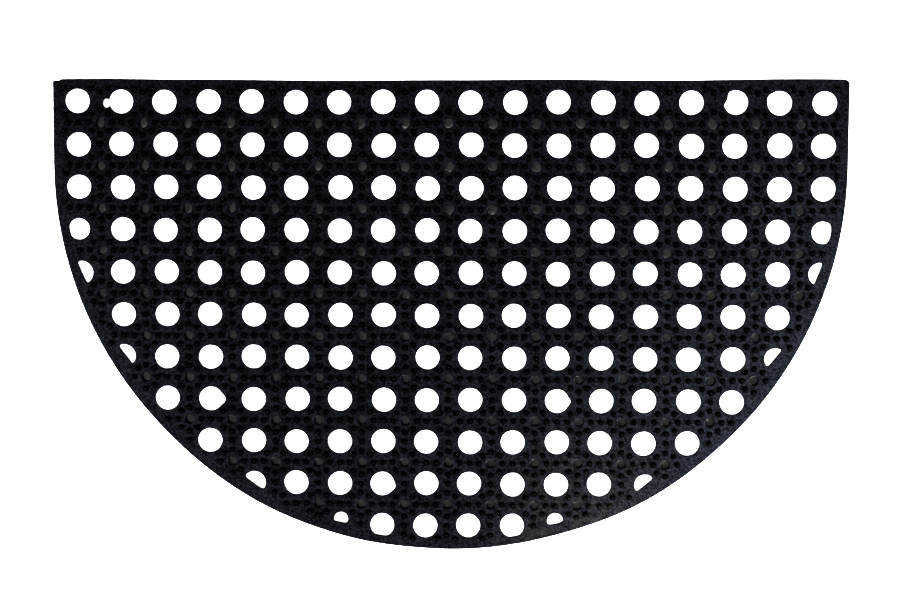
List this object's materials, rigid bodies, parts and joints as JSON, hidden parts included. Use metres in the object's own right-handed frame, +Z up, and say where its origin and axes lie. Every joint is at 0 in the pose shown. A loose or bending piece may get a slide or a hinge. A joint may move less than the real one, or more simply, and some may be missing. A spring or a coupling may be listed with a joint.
{
  "type": "half round doormat",
  "caption": "Half round black rubber doormat with rows of round through holes, small drain holes between them, a nubbed top and a flat rim.",
  "frame": {"origin": "on the floor under the middle of the mat's bounding box", "axes": "+Z up off the floor, +Y towards the straight back edge, +X along the straight edge"},
  "size_m": [0.75, 0.446, 0.016],
  "materials": {
    "rubber": "moulded black rubber with a faint bluish sheen, fine grain and slightly uneven gloss"
  },
  "bodies": {
    "root": {"mat": "rubber"}
  },
  "joints": []
}
